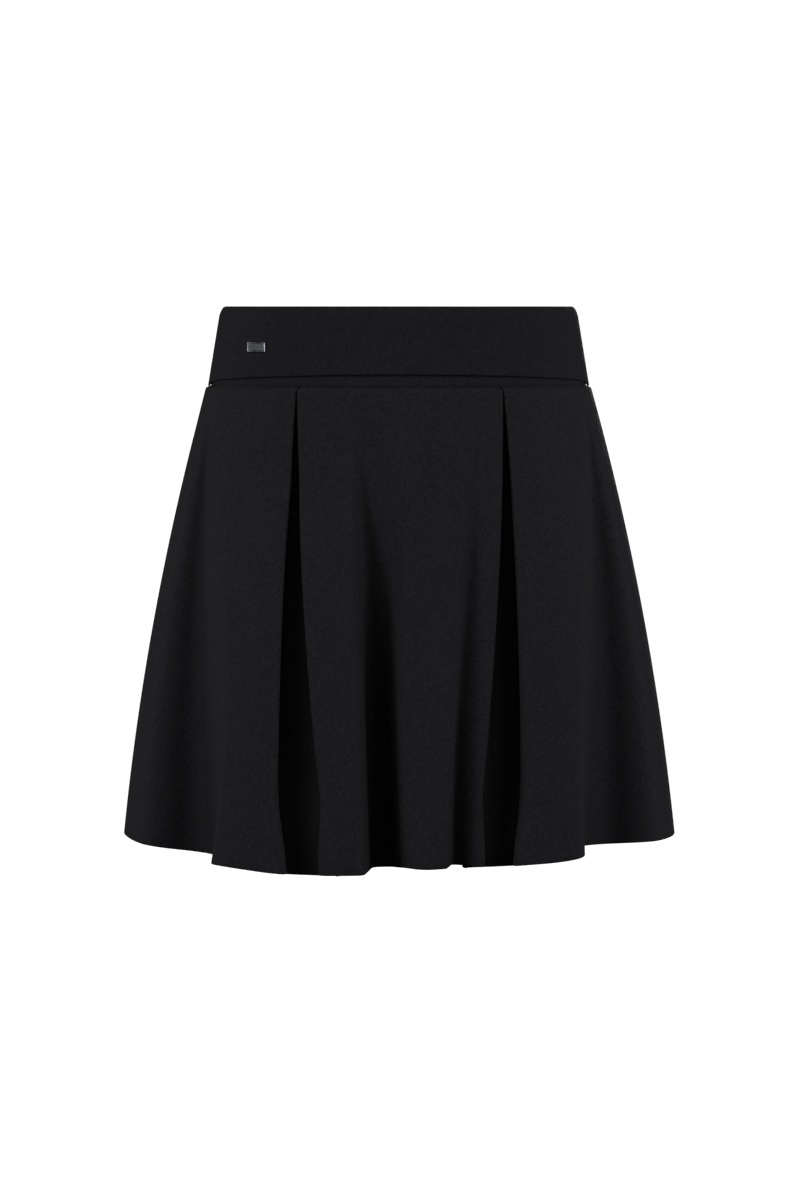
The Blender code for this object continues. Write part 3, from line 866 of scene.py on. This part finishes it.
# inset: millimetres in from the outline; level: millimetres above the rear face; rim: 1 where it is
# polished, which also gives it the lighter colour of a painted highlight
PlateRing = namedtuple("PlateRing", "inset level rim")
PLATE_RINGS = [
    PlateRing(0.25, 0.00, 0),
    PlateRing(0.07, 0.06, 0),
    PlateRing(0.00, 0.20, 0),
    PlateRing(0.00, 0.60, 1),
    PlateRing(0.06, 0.78, 1),
    PlateRing(0.20, 0.88, 1),
    PlateRing(0.45, 0.90, 1),
    PlateRing(0.80, 0.88, 1),
    PlateRing(0.95, 0.80, 0),
    PlateRing(1.05, 0.66, 0),
    PlateRing(1.25, 0.62, 0),
]
print("the plate:", round(PLATE_WIDTH / MM, 1), "by", round(PLATE_HEIGHT / MM, 1), "mm")


# %% Plate outline and rings
def plate_outline():
    """A rounded rectangle, as places across and up, going round once from the right end's lower corner."""
    half_width = PLATE_WIDTH / 2 - PLATE_CORNER
    half_height = PLATE_HEIGHT / 2 - PLATE_CORNER
    line = []
    for quarter, (side, level) in enumerate([(1, 1), (-1, 1), (-1, -1), (1, -1)]):
        for angle in np.linspace(0, math.pi / 2, PLATE_CORNER_STEPS + 1) + quarter * math.pi / 2:
            across = side * half_width + PLATE_CORNER * math.cos(angle)
            line.append((across, level * half_height + PLATE_CORNER * math.sin(angle)))
        if side == level:
            for step in range(1, PLATE_SIDE_STEPS):
                across = side * between(half_width, -half_width, step / PLATE_SIDE_STEPS)
                line.append((across, level * PLATE_HEIGHT / 2))
    return np.array(line)


def plate_rings():
    """Rings of (across, up, proud, rim), from the middle line of the rear face to that of the field."""
    outline = plate_outline()
    longest = (PLATE_WIDTH - PLATE_HEIGHT) / 2
    spine = np.column_stack([np.clip(outline[:, 0], -longest, longest), np.zeros(len(outline))])
    inward = spine - outline
    reach = np.linalg.norm(inward, axis=1, keepdims=True)
    rings = [(spine, 0, 0), (between(spine, outline, REAR_RING), 0, 0)]
    for ring in PLATE_RINGS:
        rings.append((outline + inward / reach * ring.inset * MM, ring.level * MM, ring.rim))
    field = PLATE_RINGS[-1].level * MM
    rings += [(between(outline, spine, FIELD_RING), field, 0), (spine, field, 0)]
    whole = np.ones((len(outline), 1))
    return np.array([np.hstack([line, whole * level, whole * rim]) for line, level, rim in rings])


print("points round the plate's outline:", len(plate_outline()))

# %% [markdown]
# ## Dark nickel
#
# Zinc is plated, here with a dark nickel. Its field was brushed along its length first, which dulls it,
# and its rim was polished, which smooths it. The rim is also given a lighter colour, a painted highlight for
# the light that it catches first. Two materials could share the plate. One is enough, because each point of
# the mesh says whether it lies on the rim.

# %% Plate metal
NICKEL_FIELD = "#37383c"
# The rim's lighter colour is a painted highlight; its lower roughness is the real polish
NICKEL_RIM_PAINTED_HIGHLIGHT = "#6a6b70"
RIM_ROUGHNESS = 0.22
FIELD_SMOOTH = 0.30  # the field's roughness between the brush lines
FIELD_ROUGH = 0.44  # and in them
BRUSH_LINE = 0.12 * MM  # between two brush lines; real ones are finer and would not show
BRUSH_LENGTH = 3.0 * MM
BRUSH_DEPTH = 0.01 * MM
BRUSH_STRENGTH = 0.5
BRUSH_DETAIL = 2
NOISE_LOW = 0.3  # nearly all of the noise lies from this value
NOISE_HIGH = 0.7  # to this one


def brushed_nickel(name):
    """Dark nickel: a lower field made dull by brush lines along it, inside a polished rim whose lighter
    colour is a painted highlight.
    """
    material, tree, shader = new_material(name, NICKEL_FIELD)
    rim = add_node(tree, "ShaderNodeAttribute", attribute_name="rim")["Fac"]
    counted = counted_measures(tree, "plate", BRUSH_LENGTH, BRUSH_LINE)
    brushing = {"Vector": counted, "Scale": 1, "Detail": BRUSH_DETAIL}
    lines = add_node(tree, "ShaderNodeTexNoise", brushing)[0]
    dullness = {0: lines, 1: NOISE_LOW, 2: NOISE_HIGH, 3: FIELD_SMOOTH, 4: FIELD_ROUGH}
    field = add_node(tree, "ShaderNodeMapRange", dullness)[0]
    roughs = {0: rim, 2: field, 3: RIM_ROUGHNESS}
    rim_highlight_colours = {0: rim, 6: linear(NICKEL_FIELD), 7: linear(NICKEL_RIM_PAINTED_HIGHLIGHT)}
    relief = {"Distance": BRUSH_DEPTH, "Height": lines, "Strength": BRUSH_STRENGTH}
    finish = {
        "Base Color": add_node(tree, "ShaderNodeMix", rim_highlight_colours, data_type="RGBA")[2],
        "Roughness": add_node(tree, "ShaderNodeMix", roughs, data_type="FLOAT")[0],
        "Normal": add_node(tree, "ShaderNodeBump", relief)[0],
        "Metallic": 1,
    }
    set_inputs(shader, finish)
    return material


dark_nickel = brushed_nickel("black_nickel_plate")
print(dark_nickel.name, "has", len(dark_nickel.node_tree.nodes), "nodes")

# %% Plate piece
SAME_POINT = 0.01 * MM  # the two sides of a middle line meet in the same points, which become one


def plate_piece(name, material):
    """The closed plate, bent round the band."""
    rings = plate_rings()
    rear = LAYER + CLOTH / 2 + SEAM_GAP
    turn_for_metre = 1 / band_oval(PLATE_MIDDLE).speed(PLATE_TURN)
    points = []
    for across, up, proud, _ in rings.reshape(-1, 4):
        turn = PLATE_TURN + across * turn_for_metre + up * PLATE_UPRIGHT
        points.append([float(value) for value in band_place(turn, PLATE_MIDDLE + up, rear + proud)])
    mesh = bpy.data.meshes.new(name)
    mesh.from_pydata(points, [], ring_faces(np.arange(len(points)).reshape(len(rings), -1)))
    mesh.attributes.new("rim", "FLOAT", "POINT").data.foreach_set("value", rings[..., 3].ravel())
    write_uv(mesh, "plate", rings[..., :2])
    shape = bmesh.new()
    shape.from_mesh(mesh)
    bmesh.ops.remove_doubles(shape, verts=shape.verts, dist=SAME_POINT)
    bmesh.ops.recalc_face_normals(shape, faces=shape.faces)
    shape.to_mesh(mesh)
    shape.free()
    return smooth_object(name, mesh, material, PLATE_SHARP)


plate = plate_piece("waistband_plate_metal", dark_nickel)
print(plate.name, len(plate.data.polygons), "faces")

# %% [markdown]
# ## Seams inside
#
# Turn the skirt inside out and each seam shows its allowance: the two cut edges, pressed to one side and
# bound together by an overlocker. Each allowance here is a narrow strip of the same cloth, which lies on
# the inside of the piece that it is pressed towards. It could be cut from the panel's own mesh, but a new
# grid, measured in from the panel's edge, keeps the same width all along.

# %% Seam allowances
ALLOWANCE = 6.0 * MM
ALLOWANCE_START = 0.6 * MM  # from the piece's edge
ALLOWANCE_CLOTH = 1.1 * MM  # two layers, pressed flat by the thread
ALLOWANCE_LINES = 5
DOWN, ROUND = 0, 1  # the two axes of a grid


def edge_strip(grid, axis, at_end, off_cloth):
    """A narrow grid along one edge of a piece, moved off the cloth to its inside."""
    moved = grid + off_cloth * (CLOTH + ALLOWANCE_CLOTH + SEAM_GAP) / 2 * outward(grid)
    lines = np.swapaxes(moved, 0, 1) if axis == DOWN else moved
    lines = lines[:, ::-1] if at_end else lines
    reach = np.linspace(ALLOWANCE_START, ALLOWANCE, ALLOWANCE_LINES)
    strip = []
    for line, length in zip(lines, lengths_along(lines, 1)):
        strip.append(np.stack([np.interp(reach, length, values) for values in line.T], axis=-1))
    strip = np.array(strip)
    strip = strip[:, ::-1] if at_end else strip
    return np.swapaxes(strip, 0, 1) if axis == DOWN else strip


# off_cloth: 1 or -1, the side of the grid on which the strip lies. A waistband's inner layer runs upwards, so
# its inside lies the other way from a skirt panel's.
Strip = namedtuple("Strip", "carrier grid axis off_cloth")
strips = {}
for name in ("pleat_underlay_left", "pleat_underlay_right", "skirt_back"):
    sewn = dipped_at_sides(skirt_grids[name])
    for side, at_end in (("_left", False), ("_right", True)):
        strips[name + side + "_allowance"] = Strip(name, edge_strip(sewn, ROUND, at_end, -1), ROUND, -1)
for name, grid in band_grids.items():
    strips[name + "_allowance"] = Strip(name, edge_strip(grid, DOWN, False, 1), DOWN, 1)

allowances = {}
for name, strip in strips.items():
    piece = cloth_piece(name, strip.grid, ALLOWANCE_CLOTH, black_knit)
    allowances.setdefault(strip.carrier, []).append(piece)
print({carrier: len(pieces) for carrier, pieces in allowances.items()})

# %% [markdown]
# ## Overlock thread
#
# The overlocker's thread is textured polyester, dyed black: soft, a little glossier than the knit, and
# twisted. It crosses the allowance every two millimetres, always at the same slant. Each stitch could be
# a copy made in a loop, but Geometry Nodes do that best: a path becomes points, and each point gets one
# short thread, turned to lie on the cloth.

# %% Thread material
THREAD_BLACK = "#1b1b1d"
THREAD_ROUGHNESS = 0.6
THREAD_GLOSS = 0.25  # specular level
TWIST = 1.508 * MM  # from one turn of the twist to the next
TWIST_DEPTH = 0.04 * MM
TWIST_STRENGTH = 0.5
WAVE_TURN = 10  # radians that a diagonal Wave texture turns for each unit of x + y + z


def thread_material(name):
    """Black polyester thread, with the ridges of its twist."""
    material, tree, shader = new_material(name, THREAD_BLACK)
    place = add_node(tree, "ShaderNodeTexCoord")["Object"]
    turns = {"Vector": place, "Scale": 2 * math.pi / (WAVE_TURN * TWIST)}
    twist = add_node(tree, "ShaderNodeTexWave", turns, bands_direction="DIAGONAL")["Color"]
    relief = {"Distance": TWIST_DEPTH, "Height": twist, "Strength": TWIST_STRENGTH}
    finish = {
        "Base Color": linear(THREAD_BLACK),
        "Normal": add_node(tree, "ShaderNodeBump", relief)[0],
        "Roughness": THREAD_ROUGHNESS,
        "Specular IOR Level": THREAD_GLOSS,
    }
    set_inputs(shader, finish)
    return material


black_thread = thread_material("black_polyester_thread")
print(black_thread.name, "has", len(black_thread.node_tree.nodes), "nodes")


# %% Stitch tree
def stitch_tree(name):
    """Short threads, evenly spaced along every path of a mesh, each lying on the cloth at a slant."""
    tree = bpy.data.node_groups.new(name, "GeometryNodeTree")
    kinds = {
        "Paths": "Geometry",
        "Pitch": "Float",
        "Thread length": "Float",
        "Thread width": "Float",
        "Slant": "Float",
        "Thread": "Material",
    }
    for socket, kind in kinds.items():
        tree.interface.new_socket(socket, in_out="INPUT", socket_type="NodeSocket" + kind)
    tree.interface.new_socket("Stitches", in_out="OUTPUT", socket_type="NodeSocketGeometry")

    given = add_node(tree, "NodeGroupInput")
    curves = add_node(tree, "GeometryNodeMeshToCurve", {"Mesh": given["Paths"]})["Curve"]
    spacing = {"Curve": curves, "Length": given["Pitch"]}
    points = add_node(tree, "GeometryNodeCurveToPoints", spacing, mode="LENGTH")
    bead = {"Segments": 6, "Rings": 4, "Radius": 0.5}  # one unit across, to be stretched to a thread
    ball = add_node(tree, "GeometryNodeMeshUVSphere", bead)["Mesh"]
    sizes = {0: given["Thread width"], 1: given["Thread length"], 2: given["Thread width"]}
    size = add_node(tree, "ShaderNodeCombineXYZ", sizes)[0]
    thread = add_node(tree, "GeometryNodeTransform", {"Geometry": ball, "Scale": size})[0]
    stored = {"Name": "off_cloth"}
    off_cloth = add_node(tree, "GeometryNodeInputNamedAttribute", stored, data_type="FLOAT_VECTOR")[0]
    standing = add_node(tree, "FunctionNodeAlignRotationToVector", {"Vector": off_cloth}, axis="Z")[0]
    path = {"Rotation": standing, "Vector": points["Tangent"]}
    along = add_node(tree, "FunctionNodeAlignRotationToVector", path, axis="X", pivot_axis="Z")[0]
    turn = add_node(tree, "ShaderNodeCombineXYZ", {2: given["Slant"]})[0]
    slant = add_node(tree, "FunctionNodeEulerToRotation", {0: turn})[0]
    both = {"Rotation": along, "Rotate By": slant}
    slanted = add_node(tree, "FunctionNodeRotateRotation", both, rotation_space="LOCAL")[0]
    copies = {"Points": points["Points"], "Instance": thread, "Rotation": slanted}
    placed = add_node(tree, "GeometryNodeInstanceOnPoints", copies)[0]
    real = add_node(tree, "GeometryNodeRealizeInstances", {"Geometry": placed})[0]
    clad = {"Geometry": real, "Material": given["Thread"]}
    finished = add_node(tree, "GeometryNodeSetMaterial", clad)[0]
    add_node(tree, "NodeGroupOutput", {"Stitches": finished})
    return tree


slanted_stitches = stitch_tree("slanted_stitches")
print(slanted_stitches.name, "has", len(slanted_stitches.nodes), "nodes")

# %% Overlock stitches
OVERLOCK = {
    "Pitch": 2.0 * MM,
    "Thread length": 5.6 * MM,  # nearly across the allowance
    "Thread width": 0.35 * MM,
    "Slant": math.radians(25),
    "Thread": black_thread,
}


def path_mesh(name, paths):
    """One mesh of open lines, each point with the direction that leads off the cloth there."""
    places, directions, edges = [], [], []
    for line, off in paths:
        edges += [(len(places) + i, len(places) + i + 1) for i in range(len(line) - 1)]
        places += line.tolist()
        directions += off.tolist()
    mesh = bpy.data.meshes.new(name)
    mesh.from_pydata(places, edges, [])
    stored = mesh.attributes.new("off_cloth", "FLOAT_VECTOR", "POINT")
    stored.data.foreach_set("vector", np.ravel(directions))
    return mesh


def grown_object(name, mesh, tree, values):
    """An object with the plain mesh that a tree of Geometry Nodes makes from another, with these inputs."""
    grown = add_object(name, mesh)
    modifier = grown.modifiers.new("grow", "NODES")
    modifier.node_group = tree
    for item in tree.interface.items_tree:
        if item.name in values:
            modifier[item.identifier] = values[item.name]
    graph = bpy.context.evaluated_depsgraph_get()
    made = bpy.data.meshes.new_from_object(grown.evaluated_get(graph))
    grown.modifiers.remove(modifier)
    grown.data = made
    made.name = name
    return grown


paths = []
for strip in strips.values():
    off = strip.off_cloth * outward(strip.grid)
    surface = strip.grid + ALLOWANCE_CLOTH / 2 * off
    middle = ALLOWANCE_LINES // 2
    paths.append([np.take(values, middle, axis=strip.axis) for values in (surface, off)])
overlock = grown_object("overlock_thread", path_mesh("overlock_paths", paths), slanted_stitches, OVERLOCK)
print(overlock.name, len(overlock.data.polygons), "faces in", len(paths), "seams")

# %% [markdown]
# ## What each piece stands for
#
# Every cloth piece replaces the plain solid of the imported model, which stays behind for collision,
# hidden. It rides on the one body there is.


def settle(piece, node=None):
    """Hide the node that the piece replaces, if any, and set the piece on the body that it rides on."""
    if node:
        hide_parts(node)
    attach(piece, "root")


all_pieces = {**band_pieces, **skirt_pieces}
for name, grid in {**band_grids, **skirt_grids}.items():
    on_it = allowances.get(name, [])
    settle(all_pieces[name], name)
    for allowance in on_it:
        settle(allowance)

settle(overlock)
settle(plate, "waistband_plate")

# %% [markdown]
# ## Floor and light
#
# The picture's ground is plain white and its light is soft. A picture of a studio could light the skirt
# from all round, but separate soft boxes can be set one by one. Two tall ones stand well out to the left
# and right, so the pleats and the hollows between the folds, which see neither of them, go nearly black.
# They stand a little above the waist, so the flap's edge throws a thin shadow. Weaker ones nearer the
# middle soften the hollows, a high one lights the front from above, and two at the sides draw the pale
# rims. One behind, a little to one side, lights the back, and one overhead lights the top fold and the
# inside.
#
# White paper that lit the black cloth from below would fill those hollows. So the floor and the backdrop
# are seen, but they send no light to the cloth.

# %% Floor and backdrop
WEARER_WAIST = 1.02  # metres from the floor up to the waist opening
PAPER = "#ffffff"
ROOM = 7.0  # metres from the middle to the backdrop
UPTURN = 1.5  # metres, the radius with which the floor turns up into it
UPTURN_STEPS = 12
ROUND_STEPS = 48
CLOSING = [(ROOM, 5.0), (ROOM / 2, 7.5)]  # metres out and up, where the backdrop closes above
TOP = 8.0


def paper_material(name):
    """Seamless studio paper, evenly lit: nothing of it shows but its white."""
    material, _, shader = new_material(name, PAPER)
    white = linear(PAPER)
    set_inputs(shader, {"Base Color": white, "Roughness": 1, "Emission Color": white, "Emission Strength": 1})
    return material


def paper_sweep(name, material):
    """A round floor that turns up into a wall and closes above, with one point at each pole."""
    upturn = np.linspace(0, math.pi / 2, UPTURN_STEPS + 1)
    profile = [(ROOM - UPTURN + UPTURN * math.sin(a), UPTURN - UPTURN * math.cos(a)) for a in upturn]
    turns = np.linspace(0, 2 * math.pi, ROUND_STEPS + 1)[:-1]
    rings = [[(r * math.cos(t), r * math.sin(t), z) for t in turns] for r, z in profile + CLOSING]
    places = np.array(sum(rings, []) + [(0, 0, 0), (0, 0, TOP)]) - (0, 0, WEARER_WAIST)
    index = np.arange(len(rings) * ROUND_STEPS).reshape(-1, ROUND_STEPS)
    floor_pole, top_pole = len(places) - 2, len(places) - 1
    faces = ring_faces(index[::-1])
    faces += [(floor_pole, a, b) for a, b in zip(index[0].tolist(), np.roll(index[0], -1).tolist())]
    faces += [(top_pole, b, a) for a, b in zip(index[-1].tolist(), np.roll(index[-1], -1).tolist())]
    mesh = bpy.data.meshes.new(name)
    mesh.from_pydata(places.tolist(), [], faces)
    return smooth_object(name, mesh, material)


paper = paper_sweep("paper_sweep", paper_material("white_studio_paper"))
paper.visible_diffuse = False
paper.visible_glossy = False
paper.visible_shadow = False
print(paper.name, [round(side, 1) for side in paper.dimensions], "m")

# %% Soft boxes
# turn: degrees round from the front; height: metres above the waist; distance and size in metres
SoftBox = namedtuple("SoftBox", "turn height distance width tall watts")
SOFT_BOXES = {
    "key_left": SoftBox(-58, 0.4, 2.1, 0.7, 1.2, 34),
    "key_right": SoftBox(58, 0.4, 2.1, 0.7, 1.2, 34),
    "front_left": SoftBox(-38, 0.4, 2.1, 0.6, 1.0, 8),
    "front_right": SoftBox(38, 0.4, 2.1, 0.6, 1.0, 8),
    "front": SoftBox(0, 1.5, 1.9, 1.0, 0.6, 8),
    "rim_left": SoftBox(-106, 0.2, 2.2, 0.7, 1.6, 19),
    "rim_right": SoftBox(106, 0.2, 2.2, 0.7, 1.6, 17),
    "back": SoftBox(170, 0.3, 2.4, 0.9, 1.4, 48),
    "top": SoftBox(0, 2.4, 0.3, 1.2, 1.2, 5),
}
SKIRT_MIDDLE = Vector((0, 0, -0.2))
ROOM_LIGHT = 0.02  # the strength of the light from all around


def soft_box(name, box):
    """A lit rectangle that faces the middle of the skirt. The camera doesn't see it."""
    light = add_object(name, bpy.data.lights.new(name, "AREA"))
    light.data.shape = "RECTANGLE"
    light.data.size, light.data.size_y = box.width, box.tall
    light.data.energy = box.watts
    turn = math.radians(box.turn)
    light.location = (box.distance * math.sin(turn), -box.distance * math.cos(turn), box.height)
    light.rotation_euler = (light.location - SKIRT_MIDDLE).to_track_quat("Z", "Y").to_euler()
    light.visible_camera = False


for name, box in SOFT_BOXES.items():
    soft_box("soft_box_" + name, box)

world = bpy.data.worlds.new("dim_room")
world.use_nodes = True
set_inputs(world.node_tree.nodes["Background"], {"Color": (1, 1, 1, 1), "Strength": ROOM_LIGHT})
bpy.context.scene.world = world
# The plain transform keeps the paper white; a film-like one would grey it and lift the black cloth.
bpy.context.scene.view_settings.view_transform = "Standard"
print(len(SOFT_BOXES), "soft boxes")
